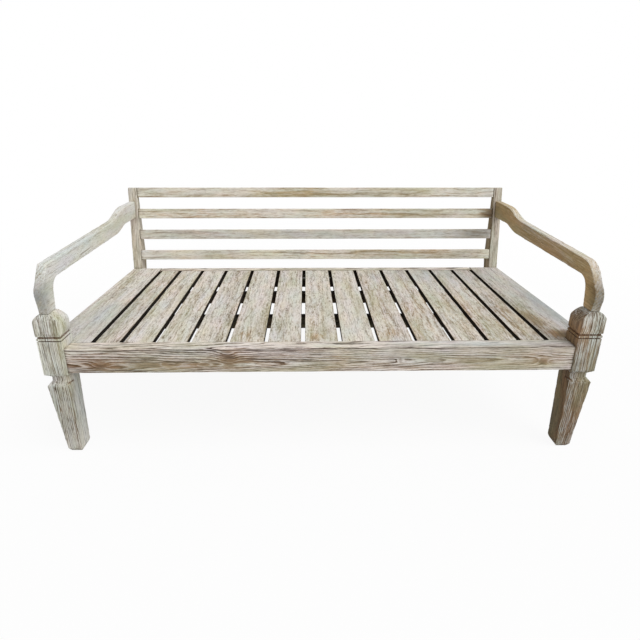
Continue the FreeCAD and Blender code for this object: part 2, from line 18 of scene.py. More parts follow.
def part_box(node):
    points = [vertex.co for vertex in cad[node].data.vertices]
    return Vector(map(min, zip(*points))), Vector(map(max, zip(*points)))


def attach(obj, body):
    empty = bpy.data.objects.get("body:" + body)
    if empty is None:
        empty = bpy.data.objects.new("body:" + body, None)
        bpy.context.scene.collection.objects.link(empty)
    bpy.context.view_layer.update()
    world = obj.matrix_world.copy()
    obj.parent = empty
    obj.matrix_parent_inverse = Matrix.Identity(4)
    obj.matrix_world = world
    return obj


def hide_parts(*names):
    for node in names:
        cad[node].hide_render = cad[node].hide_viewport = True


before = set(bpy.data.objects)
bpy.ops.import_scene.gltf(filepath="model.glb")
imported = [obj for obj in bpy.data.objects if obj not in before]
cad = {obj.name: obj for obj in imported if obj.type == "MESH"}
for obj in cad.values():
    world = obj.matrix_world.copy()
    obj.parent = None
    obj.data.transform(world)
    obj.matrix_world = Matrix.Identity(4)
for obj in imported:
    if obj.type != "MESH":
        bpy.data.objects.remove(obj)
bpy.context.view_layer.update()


def new_object(name, data):
    """An object that holds this mesh, lamp or camera, in the scene."""
    thing = bpy.data.objects.new(name, data)
    bpy.context.scene.collection.objects.link(thing)
    return thing


print("pieces in the packed daybed:", len(cad))

# %% [markdown]
# ## Node trees from plain Python
# A shader or a shape can be drawn by hand in the node editor, or built here. Long node code
# is hard to read, so one small class wraps a socket and turns Python's own operators into
# Math nodes. A second class owns the tree and adds every other kind of node.

# %% Wires and benches
class Wire:
    """One output socket. Python's operators on it add Math nodes to its tree."""

    def __init__(self, bench, socket):
        self.bench = bench
        self.socket = socket

    def math(self, operation, *values):
        sockets = {place: value for place, value in enumerate(values)}
        return self.bench.add("ShaderNodeMath", {"operation": operation}, sockets)

    def __add__(self, other):
        return self.math("ADD", self, other)

    def __radd__(self, other):
        return self.math("ADD", other, self)

    def __sub__(self, other):
        return self.math("SUBTRACT", self, other)

    def __rsub__(self, other):
        return self.math("SUBTRACT", other, self)

    def __mul__(self, other):
        return self.math("MULTIPLY", self, other)

    def __rmul__(self, other):
        return self.math("MULTIPLY", other, self)

    def __pow__(self, other):
        return self.math("POWER", self, other)

    def ramp(self, start, end):
        """0 below start, 1 above end, and a smooth climb between them."""
        return self.bench.add("ShaderNodeMapRange", {"interpolation_type": "SMOOTHSTEP"},
                              {"Value": self, "From Min": start, "From Max": end})


class Bench:
    """A node tree, and the one way that this script adds a node to it."""

    def __init__(self, tree):
        self.tree = tree

    @staticmethod
    def find(sockets, key):
        """A socket by its number, its identifier or its name."""
        if isinstance(key, int):
            return sockets[key]
        for socket in sockets:
            if socket.identifier == key and socket.enabled:
                return socket
        return next(socket for socket in sockets if socket.name == key and socket.enabled)

    def add(self, kind, settings=None, sockets=None, out=0):
        node = self.tree.nodes.new(kind)
        for name, value in (settings or {}).items():
            setattr(node, name, value)
        for key, value in (sockets or {}).items():
            socket = self.find(node.inputs, key)
            if isinstance(value, Wire):
                self.tree.links.new(value.socket, socket)
            else:
                socket.default_value = value
        if not node.outputs:
            return node
        return Wire(self, self.find(node.outputs, out))

    def vector(self, operation, *values, out=0):
        sockets = {place: value for place, value in enumerate(values)}
        return self.add("ShaderNodeVectorMath", {"operation": operation}, sockets, out)

    def part(self, vector, axis):
        """One number of a vector: its X, Y or Z."""
        return self.add("ShaderNodeSeparateXYZ", sockets={0: vector}, out=axis)

    def spread(self, value, steps):
        """A vector that holds one value times a step for each axis."""
        return self.add("ShaderNodeCombineXYZ", sockets={
            axis: value * step for axis, step in zip("XYZ", steps)})

    def noise(self, place, stretch, detail=2.0, roughness=0.5, out="Fac"):
        """Noise with so many waves to a metre along, across and through the grain."""
        return self.add("ShaderNodeTexNoise", {"noise_dimensions": "3D"},
                        {"Vector": self.vector("MULTIPLY", place, stretch),
                         "Scale": 1.0, "Detail": detail, "Roughness": roughness}, out)

    def blend(self, share, first, second):
        """The first colour where share is 0, and the second where it is 1."""
        return self.add("ShaderNodeMix", {"data_type": "RGBA"},
                        {"Factor_Float": share, "A_Color": first, "B_Color": second},
                        "Result_Color")


def srgb(red, green, blue):
    """A colour as a picture program names it, made linear for the shader."""
    linear = [((part / 255 + 0.055) / 1.055) ** 2.4 for part in (red, green, blue)]
    return (*linear, 1.0)


print("white in linear light:", srgb(255, 255, 255))

# %% [markdown]
# ## The camera
# The photograph was taken from about chest height, a little left of the middle, looking down
# by 22 degrees. The camera's place and turn were worked out from the corners of the real
# daybed. Its lens is wide, so the front legs lean outwards in the picture.

# %% Camera
camera_data = bpy.data.cameras.new("camera")
camera_data.sensor_width = 36.0
camera_data.lens = 28.125
camera_data.shift_x = 0.00583
camera_data.shift_y = -0.00214
camera = new_object("camera", camera_data)
camera_right = Vector((0.9998, -0.01895, 0.00214)).normalized()
camera_back = Vector((-0.0184, -0.9287, 0.3703)).normalized()
camera_up = camera_back.cross(camera_right).normalized()
camera_turn = Matrix((camera_right, camera_up, camera_back)).transposed().to_4x4()
camera.matrix_world = Matrix.Translation((-0.05315, -2.17738, 1.19637)) @ camera_turn
bpy.context.scene.camera = camera
bpy.context.scene.view_settings.view_transform = "Standard"
print("camera height:", round(camera.matrix_world.translation.z, 3), "m")

# %% [markdown]
# ## Light and background
# The picture has a plain white ground and soft light, which comes from above and from the
# right, so the sides that face left are darker. A white sky lights everything evenly, and one
# large soft lamp gives the direction. The sky and the floor look white to the camera by
# their own colour, so no extra light has to reach the wood, and the floor keeps a faint
# shadow.

# %% Sky, floor and lamp
SKY_LIGHT = 0.5        # how strongly the sky lights the daybed
FLOOR_WHITE = 0.93     # how much of the floor's look under the daybed is its own white
SHADOW_REACH = (1.2, 4.0)     # how far from the middle the shadow starts to fade, and ends
FLOOR_SIZE = 30.0      # how far the floor reaches each way
LAMP_LIGHT = 2.2       # the lamp's strength
LAMP_WIDTH = math.radians(50)     # how wide it looks from the daybed
TOWARDS_LAMP = Vector((0.52, -0.36, 0.77))


def seen_directly(bench):
    """1 for a ray from the camera, a mirror or a glass, and 0 for light on its way."""
    path = {name: bench.add("ShaderNodeLightPath", out=name)
            for name in ("Is Camera Ray", "Is Glossy Ray", "Is Transmission Ray")}
    both = path["Is Camera Ray"].math("MAXIMUM", path["Is Camera Ray"], path["Is Glossy Ray"])
    return both.math("MAXIMUM", both, path["Is Transmission Ray"])


def empty_bench(owner):
    """A bench on an owner's own tree, with the nodes that Blender puts there removed."""
    owner.use_nodes = True
    owner.node_tree.nodes.clear()
    return Bench(owner.node_tree)


world = bpy.data.worlds.new("sky")
bpy.context.scene.world = world
sky = empty_bench(world)
WHITE = (1.0, 1.0, 1.0, 1.0)
sky_light = sky.add("ShaderNodeBackground", sockets={"Color": WHITE, "Strength": SKY_LIGHT})
sky_seen = sky.add("ShaderNodeBackground", sockets={"Color": WHITE, "Strength": 1.0})
sky_mix = sky.add("ShaderNodeMixShader", sockets={0: seen_directly(sky), 1: sky_light,
                                                  2: sky_seen})
sky.add("ShaderNodeOutputWorld", sockets={"Surface": sky_mix})

floor_paint = bpy.data.materials.new("pale_floor")
tiles = empty_bench(floor_paint)
from_middle = tiles.vector("LENGTH", tiles.add("ShaderNodeTexCoord", out="Object"), out="Value")
own_white = FLOOR_WHITE + from_middle.ramp(*SHADOW_REACH) * (1.0 - FLOOR_WHITE)
floor_matt = tiles.add("ShaderNodeBsdfDiffuse", sockets={"Color": (0.76, 0.76, 0.76, 1.0)})
floor_white = tiles.add("ShaderNodeEmission", sockets={"Color": WHITE, "Strength": 1.0})
floor_mix = tiles.add("ShaderNodeMixShader", sockets={0: seen_directly(tiles) * own_white,
                                                      1: floor_matt, 2: floor_white})
tiles.add("ShaderNodeOutputMaterial", sockets={"Surface": floor_mix})

floor_mesh = bpy.data.meshes.new("floor")
corners = [(x * FLOOR_SIZE, y * FLOOR_SIZE, 0) for x, y in ((-1, -1), (1, -1), (1, 1), (-1, 1))]
floor_mesh.from_pydata(corners, [], [(0, 1, 2, 3)])
floor_mesh.materials.append(floor_paint)
floor = new_object("floor", floor_mesh)

key_lamp = bpy.data.lights.new("key_lamp", "SUN")
key_lamp.energy = LAMP_LIGHT
key_lamp.angle = LAMP_WIDTH
key_holder = new_object("key_lamp", key_lamp)
key_holder.rotation_euler = TOWARDS_LAMP.to_track_quat("Z", "Y").to_euler()
print("one soft lamp, and a sky of", SKY_LIGHT)

# %% [markdown]
# ## Whitewashed teak
# The finish has layers. The teak itself is brown, with dark lines of late wood and many
# short pores. Wire brushing wears the soft wood between them into grooves, and the wash
# stays in the grooves and on the faces that lie up to the sun. An image of a plank would
# repeat, so everything is worked out from where a point lies in its own board. What sits in
# one place only, such as a knot or a stain, is a mark: a soft spot with a centre, a size
# and a strength.

# %% Colours and marks
GRIME_AND_SHADE = srgb(21, 16, 12)      # old dirt, and painted shade, in gaps, creases and under the seat
LICHEN = srgb(172, 170, 138)  # the green tinge of damp wood
SILVER = srgb(176, 179, 180)  # teak that the weather has turned grey


def near(bench, place, centre, size):
    """1 at the centre and 0 well away from it. Size is half its length each way."""
    shift = bench.vector("SUBTRACT", place, centre)
    away = bench.vector("LENGTH", bench.vector("DIVIDE", shift, size), out="Value")
    return away.math("EXPONENT", away * away * -1.0)


def total(bench, place, marks):
    """All the marks of a list, each a centre, a size and a strength, added up."""
    summed = bench.add("ShaderNodeValue")
    summed.socket.default_value = 0.0
    for centre, size, strength in marks:
        summed = summed + near(bench, place, centre, size) * strength
    return summed


print("grime reflects", round(GRIME_AND_SHADE[0], 4), "of red light, and silver", round(SILVER[0], 2))

# %% [markdown]
# ## A point in its own board
# Two boards of one log never match, so every piece has a seed that moves it to wood of its
# own. The weathering further down writes that seed on each point, with the point's place
# along, across and through the board, how worn it is, how much dirt and painted shade lie
# in its corner, and how thin the wash is and how much shade is painted on its face. The
# shader only has to read them.

# %% Reading a board
SEED_STEP = (3.7, 1.9, 2.3)   # how far one seed moves a board through the pattern
MIDDLE = (0.5, 0.5, 0.5)      # what a noise colour swings about


class BoardPoint:
    """Where a point lies in its own board, and what the weathering wrote down for it."""

    def __init__(self, bench, marks):
        self.bench = bench
        self.marks = marks
        self.spot = bench.add("ShaderNodeTexCoord", out="Object")
        self.grain = self.read("grain", "Vector")
        self.wear = self.read("wear", "Fac")
        self.nook = self.read("nook", "Fac")
        self.bare_and_shade = self.read("bare_and_shade", "Fac")
        board = self.read("board", "Vector")
        seed, self.light, self.warmth = (bench.part(board, axis) for axis in "XYZ")
        place = bench.vector("ADD", self.grain, bench.spread(seed, SEED_STEP))
        wander = bench.noise(place, (2.6, 9.0, 9.0), out="Color")
        self.drift = bench.vector("SUBTRACT", wander, MIDDLE)
        self.own = self.moved(place, (0.0, 0.014, 0.014))

    def read(self, attribute, out):
        return self.bench.add("ShaderNodeAttribute", {"attribute_name": attribute}, out=out)

    def moved(self, place, reach):
        """The place, moved from side to side as the grain wanders."""
        return self.bench.vector("ADD", place, self.bench.vector("MULTIPLY", self.drift, reach))

    def marked(self, kind, where=None):
        """How strongly this point has marks of one kind."""
        return total(self.bench, where or self.spot, self.marks.get(kind, ()))


print("boards with seeds 1 and 2 lie", SEED_STEP[0], "m apart along the pattern")

# %% [markdown]
# ## Streaks, clouds and pores
# A brushed board has detail at every scale, from pores as fine as a hair to slow patches.
# Each pattern is one noise, stretched along the grain: many waves a metre across it, and few
# along it. Only the blotches are round. Drying checks are the thin lines where a slow noise
# crosses its middle.

# %% Patterns along the grain
# Waves a metre along and across the grain, detail and roughness
BRUSHED = {"coarse": (6.0, 150.0, 5.0, 0.75), "fine": (14.0, 240.0, 4.0, 0.75),
           "mottle": (22.0, 90.0, 4.0, 0.7), "cloud": (7.0, 30.0, 3.0, 0.6)}
GROWN = {"band": (1.2, 38.0, 2.0, 0.55), "pores": (42.0, 520.0, 1.0, 0.5),
         "patch": (2.4, 11.0, 3.0, 0.55), "ridge": (1.2, 60.0, 1.5, 0.5)}


def add_patterns(point, short):
    """Gives the point its patterns. Short is how much shorter the brushed ones are."""
    for table, shorter in ((BRUSHED, short), (GROWN, 1.0)):
        for name, (along, across, detail, roughness) in table.items():
            stretch = (along * shorter, across, across)
            setattr(point, name, point.bench.noise(point.own, stretch, detail, roughness))
    point.strand = point.coarse.ramp(0.4, 0.6)
    point.band = point.band.ramp(0.3, 0.7)
    point.pores = point.pores.ramp(0.56, 0.66)
    point.blotch = point.bench.noise(point.spot, (9.0, 9.0, 9.0), 3.0, 0.6)
    facing = point.bench.add("ShaderNodeNewGeometry", out="Normal")
    point.up = point.bench.part(facing, "Z").ramp(0.3, 0.95)
    off_middle = point.ridge - 0.5
    thin_line = 1.0 - off_middle.math("ABSOLUTE", off_middle).ramp(0.0, 0.014)
    point.check = thin_line * point.patch.ramp(0.5, 0.6) * point.coarse.ramp(0.3, 0.55)


print("patterns:", ", ".join([*BRUSHED, *GROWN]))

# %% [markdown]
# ## Growth rings
# On a flat-sawn plank the saw cuts the rings at a low angle, so they show as long lines
# that swing and close. Here they are the lines of even height on a slope with slow waves.
# Where a plank was sawn near the heart they bend round a heart line into arches, and each
# knot is a hill of its own that pushes them aside.

# %% Rings and knots
# Where in a ring the tone starts, is full, fades and has gone
LATE_WOOD = (0.55, 0.84, 0.88, 0.98)
EARLY_WOOD = (0.0, 0.1, 0.16, 0.4)


def stretch_of(turn, stops):
    """1 between the two middle stops, and 0 outside the outer ones."""
    start, full, fade, gone = stops
    return turn.ramp(start, full) * (1.0 - turn.ramp(fade, gone))


def add_rings(point, slope, arch, swirl):
    """Gives the point its late wood lines, its early wood and its knots."""
    bench, own = point.bench, point.own
    point.wandering = point.moved(point.spot, (0.06, 0.0, 0.02))
    point.knotty = point.marked("knots", point.wandering)
    hill = bench.vector("DOT_PRODUCT", own, slope, out="Value") + point.knotty * 1.8
    hill = hill + bench.noise(own, (2.2, 22.0, 22.0)) * swirl
    hill = hill + bench.noise(own, (9.0, 70.0, 70.0), 4.0, 0.65) * 0.8
    if arch is not None:
        high, behind, density = arch
        swerve = bench.noise(own, (1.6, 3.0, 3.0)) - 0.5
        off = bench.part(point.grain, "Y") - high + swerve * 0.06
        hill = hill + (off * off + behind ** 2) ** 0.5 * density
    turn = hill.math("FRACT", hill)
    broken = point.mottle.ramp(0.35, 0.6) * 0.7 + point.strand * 0.3
    point.lines = stretch_of(turn, LATE_WOOD) * broken * (0.1 + point.cloud.ramp(0.35, 0.6))
    point.early = stretch_of(turn, EARLY_WOOD)


print("late wood fills a ring from", LATE_WOOD[0], "to", LATE_WOOD[-1], "of its width")

# %% [markdown]
# ## Wood, wash and weather
# The bare wood runs from dark to tan. How much wash is kept depends on the streaks, on the
# rings, on wear, and on how the face lies: it is thin where dirt and painted shade sit in a
# corner, and pale along the worn arrises. Last come the things that lie on top, such as
# lichen, grey patches, cracks, grime and painted shade. Some stretches are worn smooth and
# calm, with a weaker grain.

# %% Wood and wash
WASH_SHARES = {"strand": 0.5, "fine": 2.2, "mottle": 1.7, "cloud": 1.0, "band": 0.35}


def add_tones(point, cover, streak, figure):
    """Gives the point its shade of wood, its tan, and how much wash hides it."""
    rough = 1.0 - point.marked("calms")
    streak, figure = rough * streak, rough * figure
    stained = point.marked("stains") * (point.mottle * 1.2 + point.strand * 0.5)
    shade = (point.strand - 0.5) * 0.5 + (point.fine - 0.5) * 1.3 + (point.cloud - 0.5) * 0.5
    point.shade = (shade * rough + 0.58 - point.lines * figure * 0.9).ramp(0.0, 0.9)
    point.tanned = point.blotch.ramp(0.48, 0.7) * 0.5 + point.warmth
    point.tanned = point.tanned + (point.band - 0.5) * 0.3 + stained * 0.7
    kept = cover + (point.patch - 0.5) * 0.5
    for name, share in WASH_SHARES.items():
        kept = kept + (getattr(point, name) - 0.5) * streak * share
    kept = kept + point.early * figure * 0.25 - point.lines * figure * 1.1
    kept = kept + point.up * 0.08 + point.wear * 0.15 - point.bare_and_shade - point.nook * 0.45
    point.hides = (kept - point.knotty * 0.35 - stained * 0.45).ramp(0.1, 0.9)


def washed_colour(point, ground, dark, tan, wash):
    """The wood in its shades, under the wash that is left on it."""
    wood = point.bench.blend(point.tanned, ground, tan)
    wood = point.bench.blend(point.shade, dark, wood)
    wood = point.bench.blend(point.tanned * 0.45, wood, tan)
    return point.bench.blend(point.hides, wood, wash)


print("the wash follows", ", ".join(WASH_SHARES))

# %% What the weather adds
HUE_DRIFT = (0.28, 0.06, 0.36)  # how far red, green and blue drift along a board
DARKEST = 0.02                  # no mark makes the wood darker than this share


def weather_colour(point, colour, dark, groove):
    """Lichen, grey patches, pores, cracks, dirt, painted shade and a slow drift of the hue."""
    bench = point.bench
    colour = bench.blend((1.0 - point.patch.ramp(0.3, 0.55)) * 0.4, colour, LICHEN)
    colour = bench.blend(point.marked("silvers") * (0.5 + point.mottle), colour, SILVER)
    knots = point.knotty.ramp(0.25, 1.0) * point.mottle.ramp(0.2, 0.6) * 0.45
    # The rail's first crack line is a painted shadow under its rounded top arris
    cracks_and_shadow_lines = point.marked("cracks_and_shadow_lines", point.wandering) * (0.2 + point.mottle.ramp(0.3, 0.6))
    for share in (point.pores * 0.35, point.check * 0.65, knots, cracks_and_shadow_lines):
        colour = bench.blend(share, colour, dark)
    bright = 1.01 + point.light + (point.blotch - 0.5) * 0.2
    # Darkening marks: dirt in places, and painted shade under the seat; a negative one brightens
    bright = bright - point.marked("grubs_and_shade") * (0.1 + point.mottle * 0.5)
    bright = bright.math("MAXIMUM", bright, DARKEST)
    colour = bench.add("ShaderNodeHueSaturation", sockets={"Value": bright, "Color": colour},
                       out="Color")
    hue = bench.noise(point.own, (5.0, 20.0, 20.0), 3.0, 0.6, out="Color")
    hue = bench.vector("MULTIPLY", bench.vector("SUBTRACT", hue, MIDDLE), HUE_DRIFT)
    colour = bench.vector("MULTIPLY", colour, bench.vector("ADD", hue, (1.0, 1.0, 1.0)))
    # Painted shade with dirt: corners, creases and joints darken towards the groove colour, and
    # faces marked bare darken to grime and painted shade
    colour = bench.blend(point.nook.ramp(0.2, 1.0) * 0.6, colour, groove)
    return bench.blend(point.bare_and_shade.ramp(0.6, 1.0) * 0.97, colour, GRIME_AND_SHADE)


print("red, green and blue drift by", HUE_DRIFT)

# %% The finish as one function
def whitewashed_teak(name, ground, dark, wash, tan, cover, rings=(0.0, 50.0, 40.0), arch=None,
                     swirl=2.0, streak=0.5, figure=0.5, short=1.0, groove=GRIME_AND_SHADE, marks=None):
    """A matt washed wood. Cover is how much of it the wash hides, from 0 to 1.

    Rings is how many rings a metre crosses each way. Arch is a heart line that the rings
    bend round: how high it lies on the board, how far behind it, and its rings a metre.
    Swirl is how far the lines wander, streak and figure how strong the grain and the rings
    are. Marks are lists of places, by kind.
    """
    paint = bpy.data.materials.new(name)
    bench = empty_bench(paint)
    point = BoardPoint(bench, marks or {})
    add_patterns(point, short)
    add_rings(point, rings, arch, swirl)
    add_tones(point, cover, streak, figure)
    colour = washed_colour(point, ground, dark, tan, wash)
    colour = weather_colour(point, colour, dark, groove)
    relief = point.strand * 0.3 + point.fine * 0.4 + point.mottle * 0.3 - point.lines * 0.2
    relief = relief - point.pores * 0.4 - point.check * 1.5
    bumps = bench.add("ShaderNodeBump", sockets={"Strength": 0.6, "Distance": 0.0014,
                                                 "Height": relief}, out="Normal")
    surface = bench.add("ShaderNodeBsdfPrincipled", sockets={
        "Base Color": colour, "Roughness": 0.92 - point.hides * 0.12 - point.wear * 0.08,
        "Specular IOR Level": 0.12, "Normal": bumps})
    bench.add("ShaderNodeOutputMaterial", sockets={"Surface": surface})
    print("finish:", name, "with", len(paint.node_tree.nodes), "nodes")
    return paint


# %% [markdown]
# ## What the years left on this daybed, and where shade is painted
# On the real daybed the knots, stains and dark corners sit in fixed places, and some dark
# marks are painted shade, such as the line under the rail's top arris and the dark under the
# seat. All timber but the posts has a table of them. A place is in metres from the floor
# under the daybed's middle, a size is half the spot's length each way, and a darkening of
# negative strength makes a place brighter.

# %% Marks of this daybed
FACE = -0.562                 # where the front rail's face is, from front to back
rail_marks = {
    "knots": [((-0.344, FACE, 0.405), (0.034, 0.03, 0.026), 1.0),
              ((-0.542, FACE, 0.379), (0.030, 0.03, 0.008), 0.8),
              ((-0.430, FACE, 0.376), (0.030, 0.03, 0.009), 0.7),
              ((-0.795, FACE, 0.378), (0.035, 0.03, 0.014), 0.8),
              ((0.798, FACE, 0.378), (0.025, 0.03, 0.012), 0.8),
              ((0.282, FACE, 0.386), (0.016, 0.03, 0.008), 0.45)],
    "stains": [((-0.82, FACE, 0.385), (0.12, 0.1, 0.04), 0.7),
               ((-0.50, FACE, 0.372), (0.40, 0.1, 0.030), 0.55),
               ((-0.66, FACE, 0.370), (0.30, 0.1, 0.020), 0.45),
               ((0.064, FACE, 0.397), (0.07, 0.1, 0.010), 0.3),
               ((-0.31, FACE, 0.400), (0.07, 0.1, 0.03), 0.8),
               ((-0.10, FACE, 0.405), (0.20, 0.1, 0.014), 0.2),
               ((0.52, FACE, 0.390), (0.10, 0.1, 0.015), 0.5),
               ((0.75, FACE, 0.400), (0.20, 0.1, 0.030), 0.55),
               ((0.30, FACE, 0.36), (0.30, 0.1, 0.02), 0.4)],
    "grubs_and_shade": [((-0.75, FACE, 0.375), (0.25, 0.1, 0.05), 0.5),
              ((0.65, FACE, 0.390), (0.40, 0.02, 0.10), 0.06),
              ((0.68, -0.530, 0.445), (0.45, 0.05, 0.012), -0.6)],
    # Painted shadow: the first line darkens just under the rail's worn top arris; the other two
    # are cracks
    "cracks_and_shadow_lines": [((0.0, FACE, 0.4355), (4.0, 0.02, 0.0020), 0.9),
               ((-0.74, FACE, 0.3530), (0.20, 0.02, 0.0016), 0.9),
               ((-0.13, FACE, 0.3890), (0.20, 0.02, 0.0014), 0.8)],
    "calms": [((0.75, FACE, 0.39), (0.60, 0.1, 0.5), 0.35)],
    "silvers": [((0.60, -0.530, 0.445), (0.45, 0.04, 0.012), 0.7)],
}
seat_marks = {
    "stains": [((-0.296, -0.434, 0.44), (0.025, 0.05, 0.03), 0.7),
               ((-0.012, -0.457, 0.44), (0.030, 0.03, 0.03), 0.7),
               ((0.264, -0.423, 0.44), (0.040, 0.04, 0.03), 0.7),
               ((0.935, -0.450, 0.44), (0.07, 0.035, 0.03), 2.4),
               ((0.868, -0.300, 0.44), (0.030, 0.11, 0.03), 1.3),
               ((0.78, -0.30, 0.44), (0.05, 0.25, 0.03), 0.5),
               ((0.60, -0.20, 0.44), (0.10, 0.35, 0.03), 0.35),
               ((0.42, -0.20, 0.44), (0.12, 0.25, 0.03), 0.35),
               ((-0.72, 0.00, 0.44), (0.10, 0.25, 0.03), 0.3)],
    "grubs_and_shade": [((0.955, -0.455, 0.44), (0.06, 0.035, 0.03), 1.8),
              ((0.868, -0.310, 0.44), (0.025, 0.09, 0.03), 0.8),
              ((0.960, -0.100, 0.44), (0.05, 0.40, 0.03), 0.25)],
    "silvers": [((0.985, -0.150, 0.44), (0.060, 0.35, 0.03), 0.8),
                ((0.600, 0.350, 0.44), (0.300, 0.15, 0.03), 0.4),
                ((-0.90, -0.300, 0.44), (0.120, 0.30, 0.03), 0.5)],
}
back_marks = {
    "stains": [((0.93, 0.535, 0.725), (0.05, 0.1, 0.05), 1.0),
               ((0.85, 0.515, 0.617), (0.08, 0.1, 0.05), 0.5),
               ((-0.10, 0.54, 0.83), (0.20, 0.1, 0.03), 0.7),
               ((-0.55, 0.53, 0.72), (0.25, 0.1, 0.02), 0.6),
               ((0.20, 0.53, 0.72), (0.25, 0.1, 0.02), 0.7),
               ((0.55, 0.50, 0.52), (0.20, 0.1, 0.02), 0.6)],
    "grubs_and_shade": [((0.94, 0.535, 0.725), (0.05, 0.1, 0.05), 1.6),
              ((0.85, 0.515, 0.617), (0.10, 0.1, 0.05), 0.7)],
    "silvers": [((0.0, 0.515, 0.617), (1.5, 0.1, 0.03), 0.42)],
}
arm_marks = {
    "stains": [((0.968, 0.45, 0.74), (0.1, 0.14, 0.08), 0.7),
               ((0.940, -0.50, 0.60), (0.02, 0.10, 0.10), 0.5)],
    "grubs_and_shade": [((0.968, 0.50, 0.74), (0.1, 0.10, 0.08), 0.35),
              ((0.940, -0.50, 0.58), (0.03, 0.10, 0.08), -0.3),
              ((-0.96, -0.58, 0.64), (0.1, 0.045, 0.1), 1.0),
              ((0.96, -0.58, 0.64), (0.1, 0.045, 0.1), 1.9)],
    "calms": [((0.96, -0.10, 0.68), (0.1, 0.90, 0.40), 0.58)],
    "silvers": [((-0.96, -0.58, 0.64), (0.1, 0.045, 0.1), 0.5),
                ((-0.96, -0.10, 0.68), (0.1, 0.90, 0.40), 0.12)],
}
leg_marks = {
    "stains": [((0.955, -0.53, 0.15), (0.1, 0.1, 0.19), 0.9),
               ((0.920, -0.53, 0.48), (0.03, 0.08, 0.05), 1.3)],
    "calms": [((-0.955, -0.55, 0.44), (0.1, 0.1, 0.12), 0.3)],
    "grubs_and_shade": [((0.955, -0.53, 0.13), (0.12, 0.12, 0.22), 0.7),
              ((0.955, -0.53, 0.39), (0.12, 0.12, 0.06), 0.3),
              ((0.955, -0.53, 0.51), (0.12, 0.12, 0.05), -0.42),
              ((-0.955, -0.56, 0.42), (0.12, 0.12, 0.10), -0.3),
              ((-0.955, -0.58, 0.15), (0.12, 0.04, 0.15), 1.0)],
}
# Painted shade: everything just under the seat is darkened, as it lies in deep shade
under_marks = {"grubs_and_shade": [((0.0, 0.0, 0.41), (3.0, 3.0, 0.05), 2.4)]}
print("marks on the rail:", sum(len(places) for places in rail_marks.values()))

# %% [markdown]
# ## Seven kinds of timber
# The pieces were sawn from different planks, so they differ in colour, in how close the
# rings run and in how much wash they took. The rail is brown with bold arches, the seat is
# worn by use and has short streaks, the legs and the arms are fine and close, and the
# timber below the seat was hardly washed at all and is made darker as painted shade.

# %% Finishes of this daybed
finishes = {
    "seat_wood": whitewashed_teak(
        "washed_seat", ground=srgb(173, 156, 132), dark=srgb(108, 94, 76),
        wash=srgb(217, 212, 203), tan=srgb(188, 158, 120), cover=0.65, rings=(0.0, 30.0, 100.0),
        swirl=3.4, streak=0.73, figure=0.42, short=3.0, marks=seat_marks),
    "rail_wood": whitewashed_teak(
        "washed_rail", ground=srgb(179, 157, 135), dark=srgb(80, 66, 56),
        wash=srgb(229, 221, 211), tan=srgb(172, 140, 106), cover=0.64, rings=(5.0, 0.0, 40.0),
        arch=(-0.0135, 0.012, 130.0), swirl=3.4, streak=0.78, figure=1.1, marks=rail_marks),
    "leg_wood": whitewashed_teak(
        "washed_leg", ground=srgb(162, 149, 128), dark=srgb(72, 60, 50),
        wash=srgb(210, 210, 202), tan=srgb(162, 130, 96), cover=0.66, rings=(0.0, 130.0, 110.0),
        swirl=4.0, streak=0.85, figure=0.7, groove=srgb(96, 60, 42), marks=leg_marks),
    "post_wood": whitewashed_teak(
        "washed_post", ground=srgb(170, 152, 122), dark=srgb(96, 82, 62),
        wash=srgb(216, 211, 196), tan=srgb(182, 152, 112), cover=0.64, rings=(0.0, 110.0, 70.0),
        swirl=3.0, streak=0.5, figure=0.5),
    "arm_wood": whitewashed_teak(
        "washed_arm", ground=srgb(186, 162, 124), dark=srgb(112, 93, 64),
        wash=srgb(217, 217, 211), tan=srgb(190, 160, 116), cover=0.68, rings=(0.0, 80.0, 70.0),
        swirl=1.4, streak=0.66, figure=0.45, short=0.5, marks=arm_marks),
    "back_wood": whitewashed_teak(
        "washed_back", ground=srgb(192, 170, 142), dark=srgb(124, 102, 78),
        wash=srgb(226, 222, 210), tan=srgb(208, 170, 124), cover=0.72, rings=(0.0, 45.0, 110.0),
        swirl=3.2, streak=0.62, figure=0.45, short=1.2, marks=back_marks),
    # Dark, nearly unwashed wood, partly painted shade, for the timber in shade under the seat
    "under_wood": whitewashed_teak(
        "underside_bare_and_shaded", ground=srgb(98, 80, 60), dark=srgb(46, 35, 26),
        wash=srgb(190, 182, 168), tan=srgb(118, 92, 66), cover=0.05, streak=0.4,
        figure=0.4, marks=under_marks),
}
print("kinds of timber:", len(finishes))

# %% [markdown]
# ## Steel and pegs
# Zinc plated screws hold the seat boards from below. The plating is a dull, slightly patchy
# grey, so roughness and colour follow a fine noise. The pegs show only their ends, which are
# darker than the long grain because end grain drinks the finish.

# %% Screw steel and peg ends
def plated_steel():
    """Zinc plate, dulled in patches."""
    paint = bpy.data.materials.new("zinc_plate")
    bench = empty_bench(paint)
    spot = bench.add("ShaderNodeTexCoord", out="Object")
    patch = bench.noise(spot, (160.0, 160.0, 160.0), 3.0)
    scratch = bench.noise(spot, (900.0, 300.0, 900.0), 2.0)
    colour = bench.blend(patch.ramp(0.35, 0.7), srgb(168, 168, 166), srgb(120, 118, 112))
    bumps = bench.add("ShaderNodeBump", sockets={"Strength": 0.2, "Distance": 0.0003,
                                                 "Height": scratch}, out="Normal")
    surface = bench.add("ShaderNodeBsdfPrincipled", sockets={
        "Base Color": colour, "Metallic": 1.0, "Roughness": 0.35 + patch * 0.25,
        "Normal": bumps})
    bench.add("ShaderNodeOutputMaterial", sockets={"Surface": surface})
    return paint


